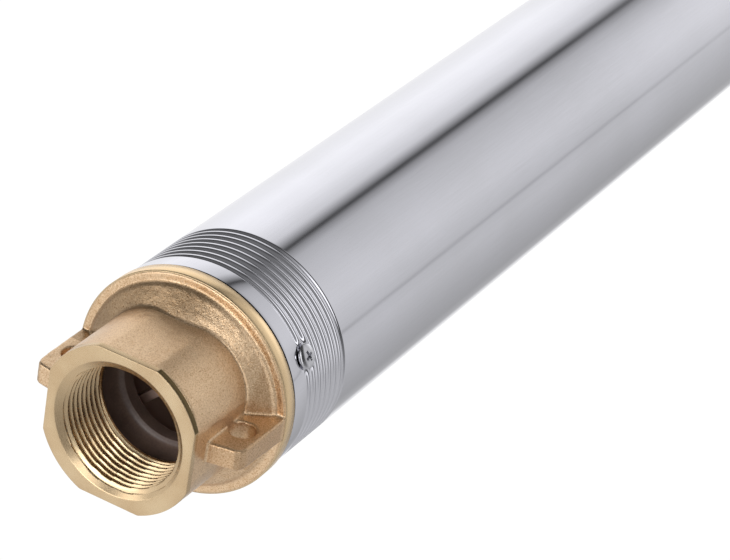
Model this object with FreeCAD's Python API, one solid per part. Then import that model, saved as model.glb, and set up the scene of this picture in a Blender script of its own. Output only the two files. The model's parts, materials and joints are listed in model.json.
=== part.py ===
import FreeCAD, Part
import math
import os
from FreeCAD import Vector

# Submersible borehole pump, standing on its motor: base at z = 0, discharge at the top.
# All sizes are in millimetres. The axis of the pump is Z, and the rope ears lie on X.

# Tube, motor shell and collars
tube_radius = 36.0
tube_wall = 1.5
collar_step = 0.55
spigot_gap = 0.08
press_gap = 0.03
running_gap = 0.06
loose_gap = 0.3

# Discharge head
head_top_margin = 40.3
rim_height = 6.1
skirt_length = 37.7
rim_ledge = 3.75
shoulder_slope = 4.4
shoulder_lip = 0.6
shoulder_hollow = 3.3
shoulder_hollow_rise = 3.2
shoulder_height = 7.6
boss_flat_distance = 25.2
boss_corner_radius = 17.5
boss_turned_radius = 26.5
boss_turned_height = 2.2
outlet_thread_radius = 19.475
outlet_thread_length = 21.5
outlet_flare = 2.925
outlet_chamfer = 2.6
nose_pocket_step = 3.025
nose_pocket_depth = 36.0
valve_chamber_wall = 5.42
edge_break = 0.4
cut_margin = 1.0
weld_depth = 1.0

# Rope ears
ear_thickness = 7.2
ear_reach = 36.0
ear_top_drop = 10.2
ear_tip_radius = 3.5
ear_round = 1.2
ear_hole_radius = 4.0
ear_hole_reach = 29.4
ear_hole_drop = 21.0
ear_root = 3.0

# Check valve
cage_nose_wall = 2.2
cage_nose_length = 8.3
cage_throat_radius = 17.0
cage_throat_length = 4.0
cage_wall = 2.9
cage_flange_height = 4.0
cage_boss_radius = 6.5
cage_boss_rise = 5.0
cage_boss_drop = 1.0
cage_spoke_height = 6.0
cage_spoke_width = 3.0
cage_spoke_count = 4
cage_spoke_first_angle = 45.0
poppet_radius = 21.0
poppet_disc_height = 2.6
poppet_stem_radius = 3.0
poppet_collar_radius = 5.2
valve_travel = 8.0
seal_thickness = 2.0
seal_inner_radius = 14.6
seat_height = 10.0
seat_bore_radius = 15.0
seat_lip_height = 1.0
seat_lip_width = 2.0
seat_bevel = 0.5
seal_overlap = 1.5
hub_drop = 1.5
hub_taper = 4.0
dome_edge = 1.0
dome_rise = 0.6
stem_bevel = 0.8
spring_wire_radius = 0.7
spring_coil_radius = 9.5
spring_half_turns = 7
spring_end_gap = 0.5

# O-rings
ring_section_radius = 1.0
ring_groove_depth = 2.0
ring_groove_height = 2.7
head_ring_rise = 6.0

# Locking screws of the tube
lock_screw_angle = 27.7
lock_screw_drop = 49.9
lock_screw_radius = 2.0
lock_screw_head_radius = 4.0
lock_screw_head_height = 2.6
lock_screw_length = 5.6
lock_screw_seat = 0.05
lock_screw_clearance = 0.2
lock_screw_slot_length = 4.4
lock_screw_slot_width = 0.9
lock_screw_slot_depth = 1.2
lock_screw_turn = 45.0

# Rotating line
shaft_across_flats = 10.0
hub_radius = 8.2
shaft_sleeve_radius = 8.0
nut_across_flats = 13.0
nut_height = 6.0
shaft_thread_radius = 4.0
shaft_thread_height = 7.5
shaft_sleeve_drop = 0.5
shaft_shoulder_drop = 1.0

# Stages
stage_count = 10
stage_pitch = 32.0
diffuser_wall = 2.0
floor_thickness = 2.0
eye_radius = 14.3
neck_wall = 1.5
neck_gap = 0.1
impeller_tip_gap = 4.7
impeller_floor_gap = 0.8
shroud_thickness = 1.6
impeller_passage = 6.8
impeller_vane_count = 6
impeller_vane_sweep = 62.0
impeller_vane_thickness = 1.8
impeller_vane_lead = 2.5
impeller_vane_inset = 0.3
neck_foot = 0.4
vane_weld = 0.5
vane_bow = 0.36
guide_gap = 1.6
guide_plate_overhang = 1.1
guide_plate_thickness = 1.8
return_vane_count = 7
return_vane_sweep = 48.0
return_vane_thickness = 1.6
return_vane_root = 5.0

# Top bearing
bearing_height = 24.0
bearing_ring_wall = 3.0
bearing_boss_radius = 13.0
bush_radius = 10.5
bush_groove_radius = 1.3
bush_groove_count = 6
bearing_spoke_width = 4.0
bearing_spoke_count = 4
bearing_spoke_inset = 3.0

# Suction bracket and strainer
bracket_flange_height = 6.0
shoulder_step_height = 5.0
shoulder_step_depth = 1.15
window_height = 43.0
rib_inner_radius = 24.0
rib_width = 9.0
rib_count = 4
rib_inset = 1.2
bracket_bore_radius = 22.0
upper_ring_height = 7.0
bracket_collar_height = 4.0
bracket_spigot_length = 24.0
suction_mouth_radius = 30.0
suction_eye_radius = 16.0
suction_eye_height = 6.0
strainer_thickness = 0.8
strainer_gap = 0.1
strainer_hole_radius = 2.1
strainer_rows = 4
strainer_columns = 18
strainer_screw_radius = 1.5
strainer_screw_head_radius = 2.8
strainer_screw_length = 5.0
strainer_screw_count = 4
strainer_screw_head_height = 0.9
strainer_notch_rise = 4.0
gland_notch_inset = 7.0

# Coupling
coupling_radius = 11.0
coupling_gap_from_flange = 14.0
coupling_length = 38.0
spline_radius = 6.5
spline_length = 18.0
spline_count = 6
spline_width = 2.4
spline_depth = 1.3
spline_run_out = 4.0
coupling_end_gap = 2.0

# Joint between motor and pump
stud_inset = 7.75
stud_first_angle = 45.0
stud_radius = 3.0
stud_depth = 9.0
stud_above_nut = 2.5
stud_nut_across_flats = 10.0
stud_nut_height = 5.0
stud_count = 4
register_inset = 11.55
register_floor_gap = 0.2
register_height = 3.0

# Motor
end_cap_height = 12.0
end_cap_spigot = 18.0
end_cap_floor = 6.0
end_cap_wall = 8.42
end_cap_edge = 2.0
breather_radius = 2.5
shell_length = 368.0
top_bracket_spigot = 18.0
top_bracket_flange = 12.0
top_bracket_web = 8.0
top_bracket_wall = 4.0
journal_boss_lip = 2.0
journal_radius = 7.5
journal_bush_radius = 10.5
journal_bush_height = 24.0
journal_boss_radius = 14.5
seal_pocket_radius = 13.0
seal_pocket_depth = 12.0
seal_seat_height = 5.0
seal_head_radius = 11.0
seal_head_height = 10.0
seal_face_step = 1.5
seal_face_gap = 0.02
seal_seat_gap = 0.8
sand_guard_radius = 17.0
sand_guard_gap = 2.5
sand_guard_height = 6.0
sand_guard_skirt = 1.5
rotor_radius = 19.5
rotor_shaft_radius = 9.0
rotor_overhang = 6.0
rotor_end_ring = 6.0
rotor_end_ring_step = 1.5
rotor_shaft_overhang = 8.0
air_gap = 0.6
stator_end_space = 8.0
stator_head_space = 24.0
stator_slot_count = 12
stator_slot_width = 4.6
stator_slot_inner = 23.0
stator_yoke = 4.42
winding_gap = 0.2
winding_overhang = 14.0
winding_bevel = 2.0
lower_bracket_height = 54.0
lower_bracket_wall = 4.4
lower_bracket_web = 6.0
lower_bracket_web_rise = 24.0
lower_bracket_lip = 6.0
lower_bracket_slope = 5.0
thrust_plate_bore = 5.0
thrust_plate_height = 5.0
thrust_pad_height = 4.0
thrust_pad_inner = 12.0
thrust_pad_outer = 24.0
thrust_pad_count = 6
thrust_pad_angle = 48.0
thrust_disc_height = 7.0
thrust_disc_radius = 25.0
thrust_disc_floor = 1.5
circlip_thickness = 1.5
circlip_depth = 1.5
circlip_drop = 2.0
circlip_reach = 2.5
circlip_opening = 8.0
diaphragm_thickness = 1.5
diaphragm_flange = 2.0
diaphragm_cup_gap = 10.42
diaphragm_depth = 18.0
diaphragm_bevel = 6.0

# Cable inlet
gland_inset = 5.85
gland_angle = 157.5
gland_radius = 4.6
gland_collar_radius = 5.4
gland_collar_height = 4.5
gland_depth = 10.0
gland_bush_radius = 3.4
cable_hole_radius = 2.6
lead_passage_radius = 2.0

# Radii and heights worked out from the sizes above
tube_bore = tube_radius - tube_wall
spigot_radius = tube_bore - spigot_gap
collar_radius = tube_radius + collar_step
shoulder_radius = collar_radius - rim_ledge
shoulder_foot_radius = shoulder_radius - shoulder_slope
outlet_mouth_radius = outlet_thread_radius + outlet_flare
nose_pocket_radius = outlet_thread_radius + nose_pocket_step
valve_chamber_radius = spigot_radius - valve_chamber_wall
diffuser_radius = tube_bore - loose_gap
impeller_radius = diffuser_radius - diffuser_wall - impeller_tip_gap
guide_plate_radius = impeller_radius + guide_plate_overhang
stud_circle_radius = collar_radius - stud_inset
register_radius = collar_radius - register_inset
gland_circle_radius = collar_radius - gland_inset
end_cap_cavity_radius = spigot_radius - end_cap_wall
stator_slot_outer = spigot_radius - stator_yoke
diaphragm_cup_radius = spigot_radius - diaphragm_cup_gap
gland_notch_width = 2 * gland_collar_radius + cut_margin
shoulder_step_radius = collar_radius - shoulder_step_depth
shell_bottom = end_cap_height
shell_top = shell_bottom + shell_length
diaphragm_base = shell_bottom + end_cap_spigot
lower_bracket_base = diaphragm_base + diaphragm_flange
motor_top = shell_top + top_bracket_flange
step_base = motor_top + bracket_flange_height
window_base = step_base + shoulder_step_height
window_top = window_base + window_height
step_top = window_top + upper_ring_height
tube_base = step_top + bracket_collar_height
stack_base = tube_base + bracket_spigot_length
stack_top = stack_base + stage_count * stage_pitch
bearing_top = stack_top + bearing_height
tube_top = bearing_top + skirt_length
outlet_top = tube_top + head_top_margin
rim_top = tube_top + rim_height
seat_top = bearing_top + seat_height
coupling_base = motor_top + coupling_gap_from_flange
coupling_top = coupling_base + coupling_length
motor_shaft_top = coupling_base + spline_length
pump_shaft_base = motor_shaft_top + coupling_end_gap
circlip_base = lower_bracket_base + circlip_drop
thrust_plate_base = circlip_base + circlip_thickness
thrust_pad_base = thrust_plate_base + thrust_plate_height
thrust_disc_base = thrust_pad_base + thrust_pad_height + running_gap
lower_web_base = lower_bracket_base + lower_bracket_web_rise
journal_bush_base = motor_top - seal_pocket_depth - top_bracket_web / 2 - journal_bush_height
journal_boss_base = journal_bush_base - journal_boss_lip
stator_base = lower_bracket_base + lower_bracket_height + winding_overhang + stator_end_space
stator_top = journal_boss_base - stator_head_space - winding_overhang
rotor_base = stator_base - rotor_overhang
rotor_top = stator_top + rotor_overhang

up = Vector(0, 0, 1)
origin = Vector(0, 0, 0)


def disc(radius, z_low, z_high):
    return Part.makeCylinder(radius, z_high - z_low, Vector(0, 0, z_low))


def ring(inner, outer, z_low, z_high):
    return disc(outer, z_low, z_high).cut(disc(inner, z_low, z_high))


def turned(outline):
    """A turned piece: its half section as (radius, height) points, spun about the axis."""
    points = [Vector(r, 0, z) for r, z in outline]
    points.append(points[0])
    return Part.Face(Part.makePolygon(points)).revolve(origin, up, 360)


def polar(radius, degrees, z=0.0):
    angle = math.radians(degrees)
    return Vector(radius * math.cos(angle), radius * math.sin(angle), z)


def around(shape, count, first=0.0):
    """Copies of a shape at equal angles about the axis."""
    return [turned_copy(shape, first + number * 360.0 / count) for number in range(count)]


def turned_copy(shape, degrees):
    copy = shape.copy()
    copy.rotate(origin, up, degrees)
    return copy


def joined(first, others):
    return first.fuse(others).removeSplitter()


def hexagon(across_flats, z_low, z_high):
    corner = across_flats / math.sqrt(3)
    points = [polar(corner, 60 * number, z_low) for number in range(7)]
    return Part.Face(Part.makePolygon(points)).extrude(up * (z_high - z_low))


def radial_rod(radius, from_reach, to_reach, degrees, z):
    direction = polar(1.0, degrees)
    start = direction * from_reach + up * z
    return Part.makeCylinder(radius, to_reach - from_reach, start, direction)


def spoke(inner, outer, width, z_low, z_high):
    return Part.makeBox(outer - inner, width, z_high - z_low, Vector(inner, -width / 2, z_low))


def curved_vane(inner, outer, sweep, thickness, z_low, z_high):
    """A plate bent on an arc from the inner to the outer radius, leaning back by the sweep."""
    start = polar(inner, 0)
    end = polar(outer, sweep)
    middle = polar((inner + outer) / 2, sweep * vane_bow)
    offset = thickness / 2
    line = Part.Arc(start, middle, end)
    curve = line.toShape().Curve
    centre = curve.Center
    sides = []
    for change in (offset, -offset):
        growth = (curve.Radius + change) / curve.Radius
        sides.append([centre + (point - centre) * growth for point in (start, middle, end)])
    near, far = sides
    edges = [
        Part.Arc(*near).toShape(),
        Part.LineSegment(near[2], far[2]).toShape(),
        Part.Arc(far[2], far[1], far[0]).toShape(),
        Part.LineSegment(far[0], near[0]).toShape(),
    ]
    blade = Part.Face(Part.Wire(edges)).extrude(up * (z_high - z_low))
    blade.translate(up * z_low)
    return blade


def o_ring_heights():
    head = bearing_top + head_ring_rise
    top_bracket = shell_top - top_bracket_spigot / 2
    cap = shell_bottom + end_cap_spigot / 2
    return head, top_bracket, cap


def o_ring(groove_floor, z):
    radius = groove_floor + ring_section_radius + press_gap
    return Part.makeTorus(radius, ring_section_radius, Vector(0, 0, z))


def ring_groove(outer, z):
    floor = outer - ring_groove_depth
    return ring(floor, outer + cut_margin, z - ring_groove_height / 2, z + ring_groove_height / 2)


# Discharge head


def wrench_boss():
    """Square boss with cast round corners and a turned end face."""
    half = boss_flat_distance
    foot = rim_top - 2 * weld_depth
    block = Part.makeBox(2 * half, 2 * half, outlet_top - foot, Vector(-half, -half, foot))
    upright = [edge for edge in block.Edges if abs(edge.tangentAt(edge.FirstParameter).z) > 0.9]
    block = block.makeFillet(boss_corner_radius, upright)
    reach = 2 * half
    turned_foot = outlet_top - boss_turned_height
    limit = turned([
        (0, foot),
        (reach, foot),
        (reach, turned_foot),
        (boss_turned_radius, turned_foot),
        (boss_turned_radius, outlet_top - edge_break),
        (boss_turned_radius - edge_break, outlet_top),
        (0, outlet_top),
    ])
    return block.common(limit)


def head_body():
    """Turned rim and skirt below a hollow cast shoulder."""
    foot_z = rim_top + shoulder_height
    bend = Part.Arc(
        Vector(shoulder_radius - shoulder_lip, 0, rim_top + shoulder_lip),
        Vector(shoulder_radius - shoulder_hollow, 0, rim_top + shoulder_hollow_rise),
        Vector(shoulder_foot_radius, 0, foot_z),
    ).toShape()
    outline = [
        Vector(shoulder_foot_radius, 0, foot_z),
        Vector(0, 0, foot_z),
        Vector(0, 0, bearing_top),
        Vector(spigot_radius, 0, bearing_top),
        Vector(spigot_radius, 0, tube_top),
        Vector(collar_radius, 0, tube_top),
        Vector(collar_radius, 0, rim_top - edge_break),
        Vector(collar_radius - edge_break, 0, rim_top),
        Vector(shoulder_radius, 0, rim_top),
        Vector(shoulder_radius - shoulder_lip, 0, rim_top + shoulder_lip),
    ]
    edges = [bend]
    for start, end in zip(outline, outline[1:]):
        edges.append(Part.LineSegment(start, end).toShape())
    return Part.Face(Part.Wire(Part.__sortEdges__(edges))).revolve(origin, up, 360)


def rope_ear():
    """One flat ear on the +X side, with its tip and edges rounded."""
    top = outlet_top - ear_top_drop
    inner = outlet_thread_radius + ear_root
    foot = rim_top - weld_depth
    corner = Vector(inner, -ear_thickness / 2, foot)
    plate = Part.makeBox(ear_reach - inner, ear_thickness, top - foot, corner)
    tip = []
    for edge in plate.Edges:
        middle = edge.CenterOfMass
        if middle.x > ear_reach - 0.1 and middle.z > top - 0.1:
            tip.append(edge)
    plate = plate.makeFillet(ear_tip_radius, tip)
    rounds = []
    for edge in plate.Edges:
        middle = edge.CenterOfMass
        outside = middle.x > inner + 1 and middle.z > rim_top
        if outside and abs(abs(middle.y) - ear_thickness / 2) < 0.01:
            rounds.append(edge)
    plate = plate.makeFillet(ear_round, rounds)
    hole = Part.makeCylinder(
        ear_hole_radius,
        2 * ear_thickness,
        Vector(ear_hole_reach, -ear_thickness, outlet_top - ear_hole_drop),
        Vector(0, 1, 0),
    )
    return plate, hole


def head_bore():
    """Threaded outlet, pocket for the valve's nose and chamber for the valve."""
    chamfer_foot = outlet_top - outlet_chamfer
    return turned([
        (0, outlet_top + cut_margin),
        (outlet_mouth_radius + cut_margin, outlet_top + cut_margin),
        (outlet_mouth_radius, outlet_top),
        (outlet_thread_radius, chamfer_foot),
        (outlet_thread_radius, outlet_top - outlet_thread_length),
        (nose_pocket_radius, outlet_top - outlet_thread_length),
        (nose_pocket_radius, outlet_top - nose_pocket_depth),
        (valve_chamber_radius, outlet_top - nose_pocket_depth),
        (valve_chamber_radius, bearing_top - cut_margin),
        (0, bearing_top - cut_margin),
    ])


def discharge_head():
    ear, hole = rope_ear()
    head = joined(head_body(), [wrench_boss()] + around(ear, 2))
    tapped = radial_rod(
        lock_screw_radius + press_gap,
        valve_chamber_radius - cut_margin,
        collar_radius,
        lock_screw_angle,
        lock_screw_heights()[0],
    )
    cuts = [head_bore(), tapped, ring_groove(spigot_radius, o_ring_heights()[0])]
    return head.cut(cuts + around(hole, 2))


# Check valve


def cage_levels():
    nose_top = outlet_top - outlet_thread_length - loose_gap
    flange_top = outlet_top - nose_pocket_depth - loose_gap
    return nose_top, flange_top


def guide_boss_levels():
    spoke_top = cage_levels()[1] - cage_flange_height
    return spoke_top - cage_spoke_height - cage_boss_drop, spoke_top + cage_boss_rise


def valve_cage():
    """Plastic valve body: a nose in the throat, a flange in the chamber and a spoked guide."""
    nose_top, flange_top = cage_levels()
    nose_outer = nose_pocket_radius - spigot_gap
    outer = valve_chamber_radius - spigot_gap
    inner = outer - cage_wall
    step = nose_top - cage_nose_length
    shell = turned([
        (nose_outer - cage_nose_wall, nose_top),
        (nose_outer, nose_top),
        (nose_outer, flange_top),
        (outer, flange_top),
        (outer, seat_top + press_gap),
        (inner, seat_top + press_gap),
        (inner, flange_top - cage_flange_height),
        (cage_throat_radius, step - cage_throat_length),
        (cage_throat_radius, step),
        (nose_outer - cage_nose_wall, step),
    ])
    spoke_top = flange_top - cage_flange_height
    arm_foot = spoke_top - cage_spoke_height
    arm = spoke(cage_boss_radius - weld_depth, inner + edge_break, cage_spoke_width, arm_foot, spoke_top)
    boss_foot, boss_top = guide_boss_levels()
    boss = disc(cage_boss_radius, boss_foot, boss_top)
    body = joined(shell, [boss] + around(arm, cage_spoke_count, cage_spoke_first_angle))
    guide = disc(poppet_stem_radius + running_gap, boss_foot - cut_margin, boss_top + cut_margin)
    return body.cut(guide)


def valve_seat():
    outer = valve_chamber_radius - spigot_gap
    lip_outer = seat_bore_radius + seat_lip_width
    return turned([
        (seat_bore_radius, bearing_top + press_gap),
        (outer, bearing_top + press_gap),
        (outer, seat_top),
        (lip_outer + seat_lip_height, seat_top),
        (lip_outer, seat_top + seat_lip_height),
        (seat_bore_radius + seat_bevel, seat_top + seat_lip_height),
        (seat_bore_radius, seat_top + seat_lip_height - seat_bevel),
    ])


def valve_seal():
    base = seat_top + seat_lip_height
    return ring(seal_inner_radius, poppet_radius - seal_overlap, base, base + seal_thickness)


def valve_poppet():
    """Mushroom poppet: a domed disc under a guide stem, with a hub through the rubber seal."""
    disc_base = seat_top + seat_lip_height + seal_thickness
    disc_top = disc_base + poppet_disc_height
    boss_foot, boss_top = guide_boss_levels()
    collar_top = boss_foot - valve_travel - loose_gap
    hub = seal_inner_radius - loose_gap
    return turned([
        (0, disc_base - seal_thickness - hub_drop),
        (hub - hub_taper, disc_base - seal_thickness - hub_drop),
        (hub, disc_base - seal_thickness),
        (hub, disc_base),
        (poppet_radius, disc_base),
        (poppet_radius, disc_top - dome_edge),
        (poppet_radius - dome_edge, disc_top),
        (poppet_collar_radius, disc_top + dome_rise),
        (poppet_collar_radius, collar_top),
        (poppet_stem_radius, collar_top),
        (poppet_stem_radius, boss_top - stem_bevel),
        (poppet_stem_radius - stem_bevel, boss_top),
        (0, boss_top),
    ])


def valve_spring():
    """Coiled return spring; each half turn is a flat arc, tilted to meet the next one."""
    flange_top = cage_levels()[1]
    disc_top = seat_top + seat_lip_height + seal_thickness + poppet_disc_height
    low = disc_top + spring_end_gap + spring_wire_radius
    high = flange_top - cage_flange_height - cage_spoke_height - spring_wire_radius - neck_gap
    rise = (high - low) / spring_half_turns
    arc_radius = math.hypot(spring_coil_radius, rise / 2)
    tilt = math.degrees(math.atan2(rise / 2, spring_coil_radius))
    halves = []
    for number in range(spring_half_turns):
        half = Part.makeTorus(arc_radius, spring_wire_radius, origin, up, -180, 180, 180)
        half.rotate(origin, Vector(0, 1, 0), tilt)
        half.rotate(origin, up, 180 * number)
        half.translate(up * (low + rise * (number + 0.5)))
        halves.append(half)
    return halves[0].fuse(halves[1:])


# Tube and its locking screws


def lock_screw_heights():
    upper = outlet_top - lock_screw_drop
    lower = tube_base + (tube_top - upper)
    return upper, lower


def pump_sleeve():
    tube = ring(tube_bore, tube_radius, tube_base, tube_top)
    radius = lock_screw_radius + lock_screw_clearance
    inner = tube_bore - cut_margin
    outer = tube_radius + cut_margin
    holes = [radial_rod(radius, inner, outer, lock_screw_angle, z) for z in lock_screw_heights()]
    return tube.cut(holes)


def sleeve_locking_screws():
    """Pan-head screws through the tube into its threaded ends."""
    screws = []
    head = lock_screw_head_height
    shank = lock_screw_radius - press_gap / 2
    outline = [
        (0, -lock_screw_length),
        (shank, -lock_screw_length),
        (shank, 0),
        (lock_screw_head_radius, 0),
        (lock_screw_head_radius, head * 0.35),
        (lock_screw_head_radius * 0.86, head * 0.75),
        (lock_screw_head_radius * 0.55, head),
        (0, head),
    ]
    for height in lock_screw_heights():
        screw = turned(outline)
        slot = Part.makeBox(
            lock_screw_slot_length,
            lock_screw_slot_width,
            lock_screw_slot_depth + cut_margin,
            Vector(-lock_screw_slot_length / 2, -lock_screw_slot_width / 2, head - lock_screw_slot_depth),
        )
        screw = screw.cut([turned_copy(slot, lock_screw_turn), turned_copy(slot, lock_screw_turn + 90.0)])
        screw.rotate(origin, Vector(0, 1, 0), 90)
        screw.translate(Vector(tube_radius + lock_screw_seat, 0, height))
        screw.rotate(origin, up, lock_screw_angle)
        screws.append(screw)
    return Part.Compound(screws)


# Stages


def impeller(base):
    """Closed impeller: hub, two shrouds, backswept vanes and the neck that runs in the floor."""
    front = base + floor_thickness + impeller_floor_gap
    passage = front + shroud_thickness
    back = passage + impeller_passage
    neck_outer = eye_radius - neck_gap
    neck_inner = neck_outer - neck_wall
    hub = disc(hub_radius, base, base + stage_pitch)
    back_shroud = disc(impeller_radius, back, back + shroud_thickness)
    front_shroud = ring(neck_inner, impeller_radius, front, passage)
    neck = ring(neck_inner, neck_outer, base + neck_foot, front)
    vane = curved_vane(
        neck_inner - impeller_vane_lead,
        impeller_radius - impeller_vane_inset,
        impeller_vane_sweep,
        impeller_vane_thickness,
        front + vane_weld,
        back + vane_weld,
    )
    wheel = joined(hub, [back_shroud, front_shroud, neck] + around(vane, impeller_vane_count))
    bore = hexagon(shaft_across_flats + 2 * running_gap, base - cut_margin, base + stage_pitch + cut_margin)
    return wheel.cut(bore)


def diffuser(base):
    """Stage casing: outer ring, floor with the eye, guide plate and return vanes."""
    front = base + floor_thickness + impeller_floor_gap
    wheel_top = front + 2 * shroud_thickness + impeller_passage
    plate = wheel_top + guide_gap
    vane_base = plate + guide_plate_thickness
    top = base + stage_pitch
    inner = diffuser_radius - diffuser_wall
    casing = ring(inner, diffuser_radius, base, top)
    floor = ring(eye_radius, inner + vane_weld, base, base + floor_thickness)
    guide = ring(hub_radius + loose_gap, guide_plate_radius, plate, vane_base)
    vane = curved_vane(
        hub_radius + return_vane_root,
        inner + vane_weld,
        -return_vane_sweep,
        return_vane_thickness,
        vane_base - vane_weld,
        top,
    )
    return joined(casing, [floor, guide] + around(vane, return_vane_count))


# Top bearing and the pump's shaft


def top_bearing_housing():
    ring_inner = spigot_radius - bearing_ring_wall
    body = ring(ring_inner, spigot_radius, stack_top, bearing_top)
    boss = disc(bearing_boss_radius, stack_top, bearing_top)
    arm = spoke(
        bearing_boss_radius - weld_depth,
        ring_inner + weld_depth,
        bearing_spoke_width,
        stack_top + bearing_spoke_inset,
        bearing_top - bearing_spoke_inset,
    )
    body = joined(body, [boss] + around(arm, bearing_spoke_count))
    return body.cut(disc(bush_radius + press_gap, stack_top - cut_margin, bearing_top + cut_margin))


def top_bearing_bush():
    """Rubber bush with lengthwise grooves that let the water through."""
    bore = shaft_sleeve_radius + running_gap
    bush = ring(bore, bush_radius, stack_top, bearing_top)
    foot = Vector(bore, 0, stack_top - cut_margin)
    groove = Part.makeCylinder(bush_groove_radius, bearing_height + 2 * cut_margin, foot)
    return bush.cut(around(groove, bush_groove_count))


def shaft_sleeve():
    body = disc(shaft_sleeve_radius, stack_top, bearing_top - shaft_sleeve_drop)
    bore = hexagon(shaft_across_flats + 2 * running_gap, stack_top - cut_margin, bearing_top + cut_margin)
    return body.cut(bore)


def shaft_nut():
    base = bearing_top - shaft_sleeve_drop
    nut = hexagon(nut_across_flats, base, base + nut_height)
    bore = disc(shaft_thread_radius + running_gap, base - cut_margin, base + nut_height + cut_margin)
    return nut.cut(bore)


def pump_shaft():
    shoulder = bearing_top - shaft_shoulder_drop
    bar = hexagon(shaft_across_flats, pump_shaft_base, shoulder)
    end = disc(shaft_thread_radius, shoulder, bearing_top + shaft_thread_height)
    return joined(bar, [end])


# Suction bracket, strainer and coupling


def gland_notch(inner, outer, z_low, z_high):
    """Room beside the cable inlet."""
    return turned_copy(spoke(inner, outer, gland_notch_width, z_low, z_high), gland_angle)


def strainer_screw_holes(radius, inner, outer):
    rod = radial_rod(radius, inner, outer, 0, (window_top + step_top) / 2)
    return around(rod, strainer_screw_count, stud_first_angle)


def bracket_holes():
    """Holes for the studs, the strainer's screws and the tube's lower locking screw."""
    low = motor_top - cut_margin
    height = window_base - low + cut_margin
    stud_hole = Part.makeCylinder(stud_radius + loose_gap, height, polar(stud_circle_radius, 0, low))
    holes = around(stud_hole, stud_count, stud_first_angle)
    holes.append(radial_rod(
        lock_screw_radius + press_gap,
        spigot_radius - lock_screw_length,
        collar_radius,
        lock_screw_angle,
        lock_screw_heights()[1],
    ))
    tapped = strainer_screw_radius + press_gap
    return holes + strainer_screw_holes(tapped, suction_mouth_radius - cut_margin, collar_radius)


def suction_bracket():
    """Casting between motor and tube: flange, ribs, and a ring with the suction funnel."""
    flange = disc(collar_radius, motor_top, step_base)
    step = disc(shoulder_step_radius, step_base, window_base)
    low = motor_top - cut_margin
    high = window_base + cut_margin
    bore = disc(bracket_bore_radius, low, high)
    register = disc(register_radius + press_gap, low, motor_top + register_height + register_floor_gap)
    rib_outer = shoulder_step_radius - rib_inset
    rib = spoke(rib_inner_radius, rib_outer, rib_width, window_base - weld_depth, window_top + weld_depth)
    upper = turned([
        (suction_mouth_radius, window_top),
        (shoulder_step_radius, window_top),
        (shoulder_step_radius, step_top),
        (collar_radius, step_top),
        (collar_radius, tube_base),
        (spigot_radius, tube_base),
        (spigot_radius, stack_base),
        (suction_eye_radius, stack_base),
        (suction_eye_radius, stack_base - suction_eye_height),
    ])
    base = flange.fuse(step).cut([bore, register])
    body = joined(base, [upper] + around(rib, rib_count))
    notch = gland_notch(gland_circle_radius - gland_notch_inset, collar_radius + cut_margin, low, high)
    return body.cut(bracket_holes() + [notch])


def strainer_wall():
    inner = shoulder_step_radius + strainer_gap
    return inner, inner + strainer_thickness


def suction_strainer():
    """Perforated sheet round the suction windows."""
    inner, outer = strainer_wall()
    sheet = ring(inner, outer, step_base, step_top)
    row_pitch = window_height / strainer_rows
    near = inner - cut_margin
    far = outer + cut_margin
    holes = strainer_screw_holes(strainer_screw_radius + strainer_gap, near, far)
    for row in range(strainer_rows):
        height = window_base + (row + 0.5) * row_pitch
        first = 180.0 / strainer_columns * (row % 2)
        hole = radial_rod(strainer_hole_radius, near, far, 0, height)
        holes += around(hole, strainer_columns, first)
    notch = gland_notch(near, far, step_base - cut_margin, window_base + strainer_notch_rise)
    return sheet.cut(holes + [notch])


def strainer_screws():
    screw = turned([
        (0, -strainer_screw_length),
        (strainer_screw_radius, -strainer_screw_length),
        (strainer_screw_radius, 0),
        (strainer_screw_head_radius, 0),
        (strainer_screw_head_radius * 0.7, strainer_screw_head_height),
        (0, strainer_screw_head_height),
    ])
    screw.rotate(origin, Vector(0, 1, 0), 90)
    screw.translate(Vector(strainer_wall()[1], 0, (window_top + step_top) / 2))
    return Part.Compound(around(screw, strainer_screw_count, stud_first_angle))


def spline_teeth(gap, z_low, z_high):
    """Toothed bar of the motor shaft's end; the coupling is cut with the same bar plus a gap."""
    bar = disc(spline_radius + gap, z_low, z_high)
    keep = disc(spline_radius - spline_depth + gap, z_low, z_high)
    tooth = spoke(0, spline_radius + cut_margin, spline_width + 2 * gap, z_low, z_high)
    teeth = [bar.common(one) for one in around(tooth, spline_count)]
    return joined(keep, teeth)


def shaft_coupling():
    body = disc(coupling_radius, coupling_base, coupling_top)
    middle = motor_shaft_top + coupling_end_gap / 2
    lower = spline_teeth(running_gap, coupling_base - cut_margin, middle)
    upper = hexagon(shaft_across_flats + 2 * running_gap, middle, coupling_top + cut_margin)
    return body.cut([lower, upper])


def flange_studs():
    low = motor_top - stud_depth
    height = window_base + stud_nut_height + stud_above_nut - low
    stud = Part.makeCylinder(stud_radius, height, polar(stud_circle_radius, 0, low))
    return Part.Compound(around(stud, stud_count, stud_first_angle))


def flange_nuts():
    top = window_base + stud_nut_height
    nut = hexagon(stud_nut_across_flats, window_base, top)
    nut = nut.cut(disc(stud_radius + running_gap, window_base - cut_margin, top + cut_margin))
    nut.translate(polar(stud_circle_radius, 0))
    return Part.Compound(around(nut, stud_count, stud_first_angle))


# Motor


def bracket_drillings():
    """Stud holes, cable inlet and the passage of the leads."""
    stud_low = polar(stud_circle_radius, 0, motor_top - stud_depth)
    stud_hole = Part.makeCylinder(stud_radius + press_gap, stud_depth + cut_margin, stud_low)
    inlet_low = polar(gland_circle_radius, gland_angle, motor_top - gland_depth)
    inlet = Part.makeCylinder(gland_radius + press_gap, gland_depth + cut_margin, inlet_low)
    passage_length = top_bracket_flange + top_bracket_spigot
    passage = Part.makeCylinder(lead_passage_radius, passage_length, inlet_low - up * passage_length)
    return [inlet, passage] + around(stud_hole, stud_count, stud_first_angle)


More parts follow.
